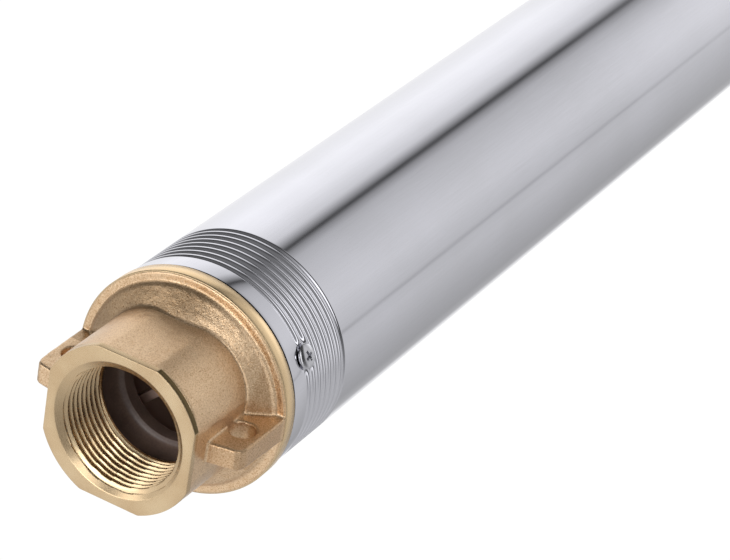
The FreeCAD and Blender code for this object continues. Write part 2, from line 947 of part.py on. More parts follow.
def motor_top_bracket():
    """Upper end bell: spigot, flange, register, bearing boss, seal pocket and cable inlet."""
    web_base = motor_top - seal_pocket_depth - top_bracket_web
    spigot_foot = shell_top - top_bracket_spigot
    register_top = motor_top + register_height
    body = turned([
        (0, journal_boss_base),
        (journal_boss_radius, journal_boss_base),
        (journal_boss_radius, web_base),
        (spigot_radius - top_bracket_wall, web_base),
        (spigot_radius - top_bracket_wall, spigot_foot),
        (spigot_radius, spigot_foot),
        (spigot_radius, shell_top),
        (collar_radius, shell_top),
        (collar_radius, motor_top),
        (register_radius, motor_top),
        (register_radius, register_top),
        (0, register_top),
    ])
    pocket = disc(seal_pocket_radius, motor_top - seal_pocket_depth, register_top + cut_margin)
    bush_top = journal_bush_base + journal_bush_height
    bush_hole = disc(journal_bush_radius + press_gap, journal_boss_base - cut_margin, bush_top)
    shaft_hole = disc(journal_radius + cut_margin, journal_boss_base - cut_margin, motor_top)
    groove = ring_groove(spigot_radius, o_ring_heights()[1])
    return body.cut([pocket, bush_hole, shaft_hole, groove] + bracket_drillings())


def upper_journal_bush():
    top = journal_bush_base + journal_bush_height - press_gap
    return ring(journal_radius + running_gap, journal_bush_radius, journal_bush_base, top)


def shaft_seal_seat():
    base = motor_top - seal_pocket_depth
    bore = journal_radius + seal_seat_gap
    return ring(bore, seal_pocket_radius - press_gap, base, base + seal_seat_height)


def shaft_seal_head():
    """Rotating half of the shaft seal, with a narrow running face."""
    base = motor_top - seal_pocket_depth + seal_seat_height
    top = base + seal_head_height
    bore = journal_radius + press_gap
    return turned([
        (bore, base + seal_face_gap),
        (seal_head_radius - seal_face_step, base + seal_face_gap),
        (seal_head_radius - seal_face_step, base + seal_face_step),
        (seal_head_radius, base + seal_face_step),
        (seal_head_radius, top),
        (bore, top),
    ])


def sand_guard():
    """Rubber flinger with a drooping skirt over the register."""
    base = motor_top + register_height + sand_guard_gap
    top = base + sand_guard_height
    bore = journal_radius + press_gap
    return turned([
        (bore, base),
        (sand_guard_radius - 3 * sand_guard_skirt, base),
        (sand_guard_radius - sand_guard_skirt, base - sand_guard_skirt),
        (sand_guard_radius, base - sand_guard_skirt),
        (sand_guard_radius - sand_guard_skirt / 2, base + sand_guard_skirt),
        (bore + 2 * sand_guard_skirt, top),
        (bore, top),
    ])


def cable_gland():
    low = polar(gland_circle_radius, gland_angle, motor_top - gland_depth)
    height = gland_depth + gland_collar_height
    body = Part.makeCylinder(gland_radius, height, low)
    collar_foot = low + up * (gland_depth + press_gap)
    collar = Part.makeCylinder(gland_collar_radius, gland_collar_height - press_gap, collar_foot)
    bore = Part.makeCylinder(gland_bush_radius + press_gap, height + 2 * cut_margin, low - up * cut_margin)
    return joined(body, [collar]).cut(bore)


def gland_bush():
    low = polar(gland_circle_radius, gland_angle, motor_top - gland_depth)
    height = gland_depth + gland_collar_height
    bush = Part.makeCylinder(gland_bush_radius, height, low)
    hole = Part.makeCylinder(cable_hole_radius, height + 2 * cut_margin, low - up * cut_margin)
    return bush.cut(hole)


def motor_shell():
    return ring(tube_bore, tube_radius, shell_bottom, shell_top)


def stator_slots(gap, z_low, z_high):
    width = stator_slot_width - 2 * gap
    bar = spoke(stator_slot_inner + gap, stator_slot_outer - gap, width, z_low, z_high)
    return around(bar, stator_slot_count)


def stator_core():
    bore = rotor_radius + air_gap
    core = ring(bore, spigot_radius, stator_base, stator_top)
    return core.cut(stator_slots(0, stator_base - cut_margin, stator_top + cut_margin))


def coil_head(base):
    """Ring of coil ends with bevelled edges."""
    inner = stator_slot_inner + winding_gap
    outer = stator_slot_outer - winding_gap
    top = base + winding_overhang - winding_gap
    bevel = winding_bevel
    return turned([
        (inner + bevel, base),
        (outer - bevel, base),
        (outer, base + bevel),
        (outer, top - bevel),
        (outer - bevel, top),
        (inner + bevel, top),
        (inner, top - bevel),
        (inner, base + bevel),
    ])


def stator_windings():
    """Coils: bars through the slots, joined by a coil head at each end."""
    low = stator_base - winding_overhang
    bars = stator_slots(winding_gap, low + winding_overhang / 2, stator_top + winding_overhang / 2)
    return joined(coil_head(low), [coil_head(stator_top + winding_gap)] + bars)


def rotor_core():
    """Laminated rotor between its two end rings."""
    bore = rotor_shaft_radius + press_gap
    outer = rotor_radius - rotor_end_ring_step
    return turned([
        (bore, rotor_base),
        (outer, rotor_base),
        (outer, rotor_base + rotor_end_ring),
        (rotor_radius, rotor_base + rotor_end_ring),
        (rotor_radius, rotor_top - rotor_end_ring),
        (outer, rotor_top - rotor_end_ring),
        (outer, rotor_top),
        (bore, rotor_top),
    ])


def motor_shaft():
    """Stepped shaft from the thrust disc up to its splined end."""
    low = thrust_disc_base + thrust_disc_floor
    spline_base = coupling_base - spline_run_out
    body = turned([
        (0, low),
        (journal_radius, low),
        (journal_radius, rotor_base - rotor_shaft_overhang),
        (rotor_shaft_radius, rotor_base - rotor_shaft_overhang),
        (rotor_shaft_radius, rotor_top + rotor_shaft_overhang),
        (journal_radius, rotor_top + rotor_shaft_overhang),
        (journal_radius, spline_base - edge_break),
        (journal_radius - edge_break, spline_base),
        (0, spline_base),
    ])
    return joined(body, [spline_teeth(0, spline_base, motor_shaft_top)])


def lower_bracket():
    """Lower end bell: ring in the shell, web, and the boss that holds the lower bush."""
    base = lower_bracket_base
    cup = spigot_radius - lower_bracket_wall
    web_top = lower_web_base + lower_bracket_web
    boss_top = base + lower_bracket_height
    body = turned([
        (journal_bush_radius + press_gap, lower_web_base),
        (cup, lower_web_base),
        (cup, base),
        (spigot_radius, base),
        (spigot_radius, web_top + lower_bracket_lip),
        (cup, web_top + lower_bracket_lip),
        (cup - lower_bracket_slope, web_top),
        (journal_boss_radius + lower_bracket_slope, web_top),
        (journal_boss_radius, web_top + lower_bracket_slope),
        (journal_boss_radius, boss_top),
        (journal_bush_radius + press_gap, boss_top),
    ])
    groove_foot = circlip_base - press_gap
    groove_top = thrust_plate_base + press_gap
    return body.cut(ring(cup - cut_margin, cup + circlip_depth, groove_foot, groove_top))


def lower_journal_bush():
    top = lower_bracket_base + lower_bracket_height
    return ring(journal_radius + running_gap, journal_bush_radius, top - journal_bush_height, top)


def thrust_disc():
    bore = journal_radius + press_gap
    top = thrust_disc_base + thrust_disc_height
    body = disc(thrust_disc_radius, thrust_disc_base, top)
    return body.cut(disc(bore, thrust_disc_base + thrust_disc_floor - press_gap, top + cut_margin))


def thrust_pads():
    """Separate sector pads on which the thrust disc runs."""
    low = thrust_pad_base
    pad = ring(thrust_pad_inner, thrust_pad_outer, low, low + thrust_pad_height)
    half = math.radians(thrust_pad_angle / 2)
    reach = thrust_pad_outer * 1.5
    side = reach * math.tan(half)
    wedge_points = [
        Vector(0, 0, low),
        Vector(reach, -side, low),
        Vector(reach, side, low),
        Vector(0, 0, low),
    ]
    wedge = Part.Face(Part.makePolygon(wedge_points)).extrude(up * thrust_pad_height)
    return Part.Compound(around(pad.common(wedge), thrust_pad_count))


def thrust_plate():
    radius = spigot_radius - lower_bracket_wall - spigot_gap
    return ring(thrust_plate_bore, radius, thrust_plate_base, thrust_pad_base)


def retaining_ring():
    """Open spring ring in its groove under the thrust plate."""
    cup = spigot_radius - lower_bracket_wall
    clip = ring(cup - circlip_reach, cup + circlip_depth - press_gap, circlip_base, thrust_plate_base)
    low = circlip_base - cut_margin
    gap = spoke(cup - 2 * circlip_reach, spigot_radius, circlip_opening, low, thrust_plate_base + cut_margin)
    return clip.cut(gap)


def diaphragm():
    """Rubber cup that balances the pressure inside the motor."""
    top = diaphragm_base + diaphragm_flange
    foot = top - diaphragm_depth
    wall = diaphragm_thickness
    cup = diaphragm_cup_radius
    return turned([
        (0, foot),
        (cup - diaphragm_bevel, foot),
        (cup, foot + diaphragm_bevel),
        (cup, diaphragm_base),
        (spigot_radius, diaphragm_base),
        (spigot_radius, top),
        (cup - wall, top),
        (cup - wall, foot + diaphragm_bevel + wall / 3),
        (cup - diaphragm_bevel - wall / 3, foot + wall),
        (0, foot + wall),
    ])


def end_cap():
    body = turned([
        (0, 0),
        (tube_radius - end_cap_edge, 0),
        (tube_radius, end_cap_edge),
        (tube_radius, shell_bottom),
        (spigot_radius, shell_bottom),
        (spigot_radius, diaphragm_base),
        (end_cap_cavity_radius, diaphragm_base),
        (end_cap_cavity_radius, end_cap_floor),
        (0, end_cap_floor),
    ])
    groove = ring_groove(spigot_radius, o_ring_heights()[2])
    return body.cut([disc(breather_radius, -cut_margin, end_cap_floor + cut_margin), groove])


def o_rings():
    """Rubber rings that seal the head, the motor's top bracket and its end cap."""
    floor = spigot_radius - ring_groove_depth
    return Part.Compound([o_ring(floor, height) for height in o_ring_heights()])


def all_nodes():
    nodes = {
        "discharge_head": discharge_head(),
        "valve_cage": valve_cage(),
        "valve_seat": valve_seat(),
        "valve_seal": valve_seal(),
        "valve_poppet": valve_poppet(),
        "valve_spring": valve_spring(),
        "o_rings": o_rings(),
        "pump_sleeve": pump_sleeve(),
        "sleeve_locking_screws": sleeve_locking_screws(),
        "top_bearing_housing": top_bearing_housing(),
        "top_bearing_bush": top_bearing_bush(),
        "shaft_sleeve": shaft_sleeve(),
        "shaft_nut": shaft_nut(),
        "pump_shaft": pump_shaft(),
        "suction_bracket": suction_bracket(),
        "suction_strainer": suction_strainer(),
        "strainer_screws": strainer_screws(),
        "shaft_coupling": shaft_coupling(),
        "flange_studs": flange_studs(),
        "flange_nuts": flange_nuts(),
        "motor_top_bracket": motor_top_bracket(),
        "upper_journal_bush": upper_journal_bush(),
        "shaft_seal_seat": shaft_seal_seat(),
        "shaft_seal_head": shaft_seal_head(),
        "sand_guard": sand_guard(),
        "cable_gland": cable_gland(),
        "gland_bush": gland_bush(),
        "motor_shell": motor_shell(),
        "stator_core": stator_core(),
        "stator_windings": stator_windings(),
        "rotor_core": rotor_core(),
        "motor_shaft": motor_shaft(),
        "lower_bracket": lower_bracket(),
        "lower_journal_bush": lower_journal_bush(),
        "thrust_disc": thrust_disc(),
        "thrust_pads": thrust_pads(),
        "thrust_plate": thrust_plate(),
        "retaining_ring": retaining_ring(),
        "diaphragm": diaphragm(),
        "end_cap": end_cap(),
    }
    wheel = impeller(stack_base)
    casing = diffuser(stack_base)
    for stage in range(stage_count):
        lift = up * (stage * stage_pitch)
        nodes["impeller_%02d" % (stage + 1)] = wheel.translated(lift)
        nodes["diffuser_%02d" % (stage + 1)] = casing.translated(lift)
    return nodes


os.makedirs("parts", exist_ok=True)
for name, shape in all_nodes().items():
    shape.exportStep("parts/%s.step" % name)
    print("%-22s %2d solids, valid %s" % (name, len(shape.Solids), shape.isValid()))
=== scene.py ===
import json
import math
import bmesh
import bpy
from mathutils import Matrix, Vector, noise


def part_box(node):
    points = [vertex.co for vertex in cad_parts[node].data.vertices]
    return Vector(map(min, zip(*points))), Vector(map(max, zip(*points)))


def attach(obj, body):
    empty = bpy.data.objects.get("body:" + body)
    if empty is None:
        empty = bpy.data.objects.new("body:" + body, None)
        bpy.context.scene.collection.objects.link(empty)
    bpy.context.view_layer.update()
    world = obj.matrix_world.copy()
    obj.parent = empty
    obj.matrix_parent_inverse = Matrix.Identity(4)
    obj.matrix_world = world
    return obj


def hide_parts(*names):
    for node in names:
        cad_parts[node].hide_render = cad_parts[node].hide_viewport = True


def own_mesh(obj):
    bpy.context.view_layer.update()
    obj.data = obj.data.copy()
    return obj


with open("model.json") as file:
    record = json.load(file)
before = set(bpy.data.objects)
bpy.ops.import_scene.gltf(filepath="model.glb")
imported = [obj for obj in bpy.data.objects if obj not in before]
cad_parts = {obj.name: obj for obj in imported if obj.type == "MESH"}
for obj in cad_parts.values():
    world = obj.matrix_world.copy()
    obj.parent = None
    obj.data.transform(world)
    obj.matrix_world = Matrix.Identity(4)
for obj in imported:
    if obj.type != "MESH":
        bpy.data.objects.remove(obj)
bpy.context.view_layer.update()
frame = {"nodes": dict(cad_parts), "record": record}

# Submersible borehole pump, standing on its motor. Sizes in the pieces' dictionaries are millimetres,
# "drop" is a depth below the mouth of the outlet and angles are degrees about the pump's axis.
# The camera, the floor and the lamps are placed in metres.

scene = bpy.context.scene
nodes = frame["nodes"]
mm = 0.001
fullTurn = 2 * math.pi
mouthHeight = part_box("discharge_head")[1].z / mm
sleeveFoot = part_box("pump_sleeve")[0].z / mm
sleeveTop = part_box("pump_sleeve")[1].z / mm


# Camera

cameraSettings = {
    "place": (0.368109, 0.498692, 1.559646),
    "right": (0.85955, 0.15195, -0.48793),
    "up": (-0.3641, 0.85206, -0.37606),
    "lens": 152.877,
    "sensor": 36.0,
}


def addCamera(settings):
    data = bpy.data.cameras.new("camera")
    data.lens = settings["lens"]
    data.sensor_width = settings["sensor"]
    data.clip_start = 0.01
    data.clip_end = 50
    camera = bpy.data.objects.new("camera", data)
    scene.collection.objects.link(camera)
    right = Vector(settings["right"]).normalized()
    up = Vector(settings["up"])
    back = right.cross(up).normalized()
    up = back.cross(right)
    turn = Matrix((right, up, back)).transposed().to_4x4()
    camera.matrix_world = Matrix.Translation(settings["place"]) @ turn
    scene.camera = camera


addCamera(cameraSettings)
print("camera set")


# Materials

def tone(red, green, blue):
    # a colour as it looks on screen, 0 to 255
    channels = []
    for value in (red, green, blue):
        value /= 255
        channels.append(value / 12.92 if value <= 0.04045 else ((value + 0.055) / 1.055) ** 2.4)
    return (*channels, 1)


def wire(tree, kind, inputs=None, **settings):
    made = tree.nodes.new("ShaderNode" + kind)
    for key, value in settings.items():
        setattr(made, key, value)
    for key, value in (inputs or {}).items():
        if isinstance(value, bpy.types.NodeSocket):
            tree.links.new(value, made.inputs[key])
        else:
            made.inputs[key].default_value = value
    return made


def scalar(tree, operation, first, second=0.0, third=0.0):
    return wire(tree, "Math", {0: first, 1: second, 2: third}, operation=operation).outputs[0]


def noiseOf(tree, place, size, detail=3.0, rough=0.55):
    # size is the pattern's grain in millimetres
    inputs = {"Vector": place, "Scale": 1 / (size * mm), "Detail": detail, "Roughness": rough}
    return wire(tree, "TexNoise", inputs).outputs["Fac"]


def spread(tree, value, low, high, toLow, toHigh):
    inputs = {"Value": value, "From Min": low, "From Max": high, "To Min": toLow, "To Max": toHigh}
    return wire(tree, "MapRange", inputs).outputs["Result"]


def blendColour(tree, amount, first, second, mode="MIX"):
    made = wire(tree, "Mix", {0: amount, 6: first, 7: second}, data_type="RGBA", blend_type=mode)
    return made.outputs[2]


def roundPlace(tree, place, radial, along, around):
    # object coordinates as (radius, height, angle), each stretched by its own factor
    split = wire(tree, "SeparateXYZ", {0: place})
    flat = wire(tree, "CombineXYZ", {0: split.outputs[0], 1: split.outputs[1]}).outputs[0]
    radius = wire(tree, "VectorMath", {0: flat}, operation="LENGTH").outputs["Value"]
    angle = scalar(tree, "ARCTAN2", split.outputs[1], split.outputs[0])
    stretched = {
        0: scalar(tree, "MULTIPLY", radius, radial),
        1: scalar(tree, "MULTIPLY", split.outputs[2], along),
        2: scalar(tree, "MULTIPLY", angle, around),
    }
    return wire(tree, "CombineXYZ", stretched).outputs[0]


# grain and patch are sizes in millimetres, relief the depth of the grain's bump. A band of painted light or
# painted shade lies between its top and foot drops and beyond a plane, which "beyond" gives as its direction
# and its distance from the axis
finishes = {
    "cast_brass": {
        "pattern": "cast", "dark": (196, 160, 120), "light": (240, 212, 176), "metallic": 0.92,
        "rough": (0.26, 0.40), "grain": 0.42, "patch": 14.0, "patchShare": 0.16, "relief": 0.055,
        "lightAndShadeBands": [
            # painted shade: the shoulder's cone is coloured darker on its side towards compass 125 degrees
            {
                "colour": (196, 192, 186), "top": 27.9, "foot": 34.1, "beyond": (-0.5736, 0.8192, 16.0),
                "fade": 9.0, "mode": "MULTIPLY",
            },
            # painted shade: the ear on the +x side is coloured darker, standing in for the shade between
            # flange and boss
            {
                "colour": (238, 232, 226), "top": 8.0, "foot": 33.0, "beyond": (1, 0, 25.6),
                "fade": 1.5, "mode": "MULTIPLY",
            },
        ],
    },
    "turned_brass": {
        "pattern": "turned", "dark": (202, 174, 136), "light": (220, 196, 158), "metallic": 1.0,
        "rough": (0.22, 0.34), "grain": 0.10, "patch": 12.0, "relief": 0.004,
        "lightAndShadeBands": [
            # painted shade: the step just below the face is coloured dark on the side towards compass 45
            # degrees
            {"colour": (112, 96, 66), "top": 0.3, "foot": 2.4, "beyond": (0.7071, 0.7071, 25.0)},
            # painted highlight: the thread on its side towards compass -110 degrees is coloured lighter
            {
                "colour": (246, 220, 176), "top": 2.2, "foot": 21.6, "beyond": (-0.342, -0.94, 13.5),
                "fade": 4.5,
            },
            # painted highlight: the rim's side is coloured lighter all round
            {"colour": (246, 216, 170), "top": 34.8, "foot": 39.3, "beyond": (0, 0, -1)},
            # painted shade: a near-black ring where the gap behind the rim lies in shade
            {"colour": (24, 20, 16), "top": 39.3, "foot": 41.0, "beyond": (0, 0, -1)},
        ],
    },
    "polished_steel": {
        "pattern": "drawn", "dark": (216, 216, 221), "light": (222, 222, 228), "metallic": 1.0,
        "rough": (0.06, 0.10), "grain": 0.25, "patch": 40.0, "relief": 0.0005,
        # painted shade: a near-black ring on the tube's end where it runs into the shade under the rim
        "lightAndShadeBands": [{"colour": (20, 20, 22), "top": 39.0, "foot": 40.6, "beyond": (0, 0, -1)}],
    },
    "machined_steel": {
        "pattern": "turned", "dark": (182, 182, 186), "light": (214, 214, 219), "metallic": 1.0,
        "rough": (0.26, 0.40), "grain": 0.14, "patch": 14.0, "relief": 0.004,
    },
    "steel_hardware": {
        "pattern": "cast", "dark": (190, 190, 194), "light": (226, 226, 230), "metallic": 1.0,
        "rough": (0.10, 0.20), "grain": 0.5, "patch": 3.0, "relief": 0.004,
    },
    "strainer_steel": {
        "pattern": "drawn", "dark": (186, 187, 190), "light": (212, 213, 217), "metallic": 1.0,
        "rough": (0.24, 0.36), "grain": 0.3, "patch": 16.0, "relief": 0.002,
    },
    "shaft_steel": {
        "pattern": "turned", "dark": (176, 178, 183), "light": (204, 206, 212), "metallic": 1.0,
        "rough": (0.16, 0.26), "grain": 0.08, "patch": 20.0, "relief": 0.002,
    },
    "black_plastic": {
        "pattern": "moulded", "dark": (84, 69, 62), "light": (110, 92, 83), "metallic": 0.0,
        "rough": (0.28, 0.40), "grain": 0.7, "patch": 10.0, "relief": 0.006,
        # painted light: the deep inside of the valve cage is coloured paler, standing in for light that does
        # not reach it
        "lightAndShadeBands": [{"colour": (176, 150, 138), "top": 34.0, "foot": 60.0, "beyond": (0, 0, -1)}],
    },
    "impeller_plastic": {
        "pattern": "moulded", "dark": (64, 66, 72), "light": (86, 88, 94), "metallic": 0.0,
        "rough": (0.30, 0.44), "grain": 0.6, "patch": 9.0, "relief": 0.008,
    },
    "diffuser_plastic": {
        "pattern": "moulded", "dark": (206, 200, 184), "light": (228, 223, 210), "metallic": 0.0,
        "rough": (0.38, 0.52), "grain": 0.6, "patch": 12.0, "relief": 0.008,
    },
    "black_rubber": {
        "pattern": "moulded", "dark": (20, 20, 21), "light": (38, 38, 40), "metallic": 0.0,
        "rough": (0.55, 0.75), "grain": 0.35, "patch": 6.0, "relief": 0.02,
    },
    "carbon_graphite": {
        "pattern": "turned", "dark": (40, 41, 44), "light": (66, 67, 71), "metallic": 0.2,
        "rough": (0.32, 0.46), "grain": 0.12, "patch": 4.0, "relief": 0.004,
    },
    "white_ceramic": {
        "pattern": "moulded", "dark": (226, 222, 212), "light": (244, 241, 233), "metallic": 0.0,
        "rough": (0.10, 0.20), "grain": 0.3, "patch": 5.0, "relief": 0.002,
    },
    "stator_iron": {
        "pattern": "stacked", "dark": (84, 82, 82), "light": (148, 146, 146), "metallic": 0.9,
        "rough": (0.36, 0.56), "grain": 0.5, "patch": 8.0, "relief": 0.05,
    },
    "winding_copper": {
        "pattern": "wound", "dark": (112, 50, 22), "light": (204, 116, 62), "metallic": 0.7,
        "rough": (0.24, 0.42), "grain": 0.9, "patch": 5.0, "relief": 0.25,
    },
}

# how each pattern stretches radius, height and angle; None keeps plain object coordinates
patternStretch = {
    "cast": None,
    "moulded": None,
    "turned": (1.0, 1.0, 0.002),
    "drawn": (0.1, 0.02, 0.036),
    "stacked": (0.02, 1.0, 0.0005),
    "wound": (1.0, 1.0, 0.004),
}


# millimetres over which a band without a fade of its own begins
sharpFade = 0.01
# how far the noise's values spread, and the pits between the grains of a cast skin
grainSpread = {"colour": (0.36, 0.64), "rough": (0.3, 0.7), "patchShare": 0.55}
castPits = {"size": 1.6, "reach": 0.42, "share": 0.5}


def paintLightAndShade(tree, place, colour, band):
    # painted light and shade: painted shade darkens the shoulder's cone and the +x ear and makes dark the
    # step behind the outlet's face and the gap behind the rim; painted highlight lightens the lower thread
    # and the rim side; painted light paler the valve cage's depth
    east, north, reach = band["beyond"]
    across = wire(tree, "VectorMath", {0: place, 1: (east, north, 0)}, operation="DOT_PRODUCT")
    height = wire(tree, "SeparateXYZ", {0: place}).outputs[2]
    below = scalar(tree, "LESS_THAN", height, (mouthHeight - band["top"]) * mm)
    above = scalar(tree, "GREATER_THAN", height, (mouthHeight - band["foot"]) * mm)
    fade = band.get("fade", sharpFade)
    outside = spread(tree, across.outputs["Value"], reach * mm, (reach + fade) * mm, 0, 1)
    share = scalar(tree, "MULTIPLY", scalar(tree, "MULTIPLY", below, above), outside)
    return blendColour(tree, share, colour, tone(*band["colour"]), band.get("mode", "MIX"))


def makeFinish(name, settings):
    material = bpy.data.materials.new(name)
    material.use_nodes = True
    tree = material.node_tree
    tree.nodes.clear()
    place = wire(tree, "TexCoord").outputs["Object"]
    stretch = patternStretch[settings["pattern"]]
    grainPlace = roundPlace(tree, place, *stretch) if stretch else place
    grain = noiseOf(tree, grainPlace, settings["grain"], 4.0)
    patch = noiseOf(tree, place, settings["patch"], 2.0)
    large = settings.get("patchShare", grainSpread["patchShare"])
    mottle = scalar(tree, "MULTIPLY_ADD", patch, large, scalar(tree, "MULTIPLY", grain, 1 - large))
    shade = spread(tree, mottle, *grainSpread["colour"], 0, 1)
    colour = blendColour(tree, shade, tone(*settings["dark"]), tone(*settings["light"]))
    for band in settings.get("lightAndShadeBands", []):
        colour = paintLightAndShade(tree, place, colour, band)
    height = grain
    if settings["pattern"] == "cast":
        pitScale = 1 / (castPits["size"] * settings["grain"] * mm)
        pits = wire(tree, "TexVoronoi", {"Vector": place, "Scale": pitScale})
        hollow = spread(tree, pits.outputs["Distance"], 0.0, castPits["reach"], 0.0, 1.0)
        height = scalar(tree, "MULTIPLY_ADD", hollow, castPits["share"], grain)
    roughness = spread(tree, grain, *grainSpread["rough"], *settings["rough"])
    bump = wire(tree, "Bump", {"Height": height, "Distance": settings["relief"] * mm, "Strength": 1.0})
    shader = wire(tree, "BsdfPrincipled", {
        "Base Color": colour,
        "Metallic": settings["metallic"],
        "Roughness": roughness,
        "Normal": bump.outputs["Normal"],
    })
    output = wire(tree, "OutputMaterial")
    tree.links.new(shader.outputs["BSDF"], output.inputs["Surface"])
    return material


materials = {name: makeFinish(name, settings) for name, settings in finishes.items()}
print("materials made:", len(materials))


# Mesh helpers

def lathe(bm, outline, steps, closed=True):
    # outline is (radius, height) in millimetres
    verts = [bm.verts.new((radius * mm, 0, height * mm)) for radius, height in outline]
    edges = [bm.edges.new(pair) for pair in zip(verts, verts[1:])]
    if closed:
        edges.append(bm.edges.new((verts[-1], verts[0])))
    bmesh.ops.spin(
        bm, geom=verts + edges, cent=(0, 0, 0), axis=(0, 0, 1), angle=fullTurn, steps=steps,
        use_merge=True, use_duplicate=False,
    )


def tidy(bm):
    bmesh.ops.remove_doubles(bm, verts=bm.verts, dist=1e-6)
    bmesh.ops.recalc_face_normals(bm, faces=bm.faces)


def bmeshOf(obj):
    # a piece's mesh with its modifiers applied, and the object removed
    seen = obj.evaluated_get(bpy.context.evaluated_depsgraph_get())
    mesh = bpy.data.meshes.new_from_object(seen)
    bm = bmesh.new()
    bm.from_mesh(mesh)
    bpy.data.objects.remove(obj)
    bpy.data.meshes.remove(mesh)
    return bm


def scratchObject(bm):
    mesh = bpy.data.meshes.new("scratch")
    bm.to_mesh(mesh)
    bm.free()
    obj = bpy.data.objects.new("scratch", mesh)
    scene.collection.objects.link(obj)
    return obj


def carved(bm, cutter):
    # cuts one closed shape out of another
    body = scratchObject(bm)
    tool = scratchObject(cutter)
    cut = body.modifiers.new("cut", "BOOLEAN")
    cut.operation = "DIFFERENCE"
    cut.solver = "EXACT"
    cut.use_self = True
    cut.object = tool
    left = bmeshOf(body)
    bpy.data.objects.remove(tool)
    return left


def addPiece(name, bm, material, body, replaced, sharpAngle=40):
    mesh = bpy.data.meshes.new(name)
    bm.to_mesh(mesh)
    bm.free()
    mesh.materials.append(material)
    mesh.shade_smooth()
    mesh.set_sharp_from_angle(angle=math.radians(sharpAngle))
    piece = bpy.data.objects.new(name, mesh)
    scene.collection.objects.link(piece)
    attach(piece, body)
    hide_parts(*replaced)
    print(name, len(mesh.polygons), "faces")
    return piece


def smoothStep(value, low, high):
    share = min(1.0, max(0.0, (value - low) / (high - low)))
    return share * share * (3 - 2 * share)


# Discharge head: a sand casting with drafted flats and rope ears, and the turned faces

castHead = {
    "bore": 22.9,
    "boreOverrun": 2,
    "boreSides": 96,
    "foot": 36.0,
    "shoulder": [
        (36.3, 36.0), (36.3, 34.5), (36.1, 34.25), (33.6, 34.2), (33.1, 33.8), (32.6, 33.1), (25.0, 27.7),
        (22.0, 27.5), (0.0, 27.5), (0.0, 36.0),
    ],
    "shoulderSteps": 128,
    "bossTop": 1.1,
    "cornerDrop": 0.95,
    "cornerDropFrom": (26.1, 26.9),
    "bossFoot": 31.0,
    "flatDistance": 25.0,
    "flatDraft": 0.25,
    "cornerCentre": 5.0,
    "cornerRadius": 20.25,
    "cornerSteps": 14,
    "earThickness": 7.0,
    "earDraft": 0.5,
    "earDraftFrom": (10, 34),
    "earOutline": [
        (20.0, 8.7), (26.3, 8.6), (33.8, 10.2), (35.1, 11.2), (35.8, 13.6), (36.2, 35.2), (20.0, 35.2),
    ],
    "earShift": {1: 0.0, -1: 0.5},
    "earShiftFrom": (24, 33),
    "earShiftFoot": 20,
    "eyeReach": 29.4,
    "eyeDrop": 21.0,
    "eyeRadius": 4.2,
    "eyeHalfLength": 9,
    "eyeSides": 40,
    "voxel": 0.4,
    "softening": 9,
    "unevenness": 0.07,
    "coarseLump": 4.0,
    "fineLump": 1.3,
    "fineShare": 0.6,
}


def castBoss(bm, size):
    # four wrench flats between broad rounded corners, a little wider at the foot
    flat, middle, radius = size["flatDistance"], size["cornerCentre"], size["cornerRadius"]
    reach = math.asin((flat - middle) / radius)
    section = []
    for quarter in range(4):
        for step in range(size["cornerSteps"] + 1):
            angle = math.pi / 2 - reach + (2 * reach - math.pi / 2) * step / size["cornerSteps"]
            corner = Vector((middle + radius * math.cos(angle), middle + radius * math.sin(angle)))
            section.append(Matrix.Rotation(quarter * math.pi / 2, 2) @ corner)
    growth = 1 + size["flatDraft"] / flat
    rings = [[], []]
    for x, y in section:
        drop = size["bossTop"] + size["cornerDrop"] * smoothStep(math.hypot(x, y), *size["cornerDropFrom"])
        foot = mouthHeight - size["bossFoot"]
        rings[0].append(bm.verts.new((x * mm, y * mm, (mouthHeight - drop) * mm)))
        rings[1].append(bm.verts.new((x * growth * mm, y * growth * mm, foot * mm)))
    bm.faces.new(rings[0])
    bm.faces.new(list(reversed(rings[1])))
    for n in range(len(section)):
        after = (n + 1) % len(section)
        bm.faces.new((rings[0][n], rings[1][n], rings[1][after], rings[0][after]))


def castEar(bm, size, side):
    # one flat lug, thicker towards its root
    half = size["earThickness"] / 2
    corners = []
    for reach, drop in size["earOutline"]:
        wide = half + size["earDraft"] * smoothStep(drop, *size["earDraftFrom"])
        if drop < size["earShiftFoot"]:
            reach += size["earShift"][side] * smoothStep(reach, *size["earShiftFrom"])
            drop -= size["earShift"][side]
        corners.append(bm.verts.new((side * reach * mm, -wide * mm, (mouthHeight - drop) * mm)))
    face = bm.faces.new(corners)
    pushed = bmesh.ops.extrude_face_region(bm, geom=[face])["geom"]
    for vert in pushed:
        if isinstance(vert, bmesh.types.BMVert):
            vert.co.y = -vert.co.y


def rod(bm, radius, start, end, segments=48):
    # closed round bar between two points, in millimetres
    first, last = Vector(start) * mm, Vector(end) * mm
    turn = (last - first).to_track_quat("Z", "Y").to_matrix().to_4x4()
    bmesh.ops.create_cone(
        bm, cap_ends=True, segments=segments, radius1=radius * mm, radius2=radius * mm,
        depth=(last - first).length, matrix=Matrix.Translation((first + last) / 2) @ turn,
    )


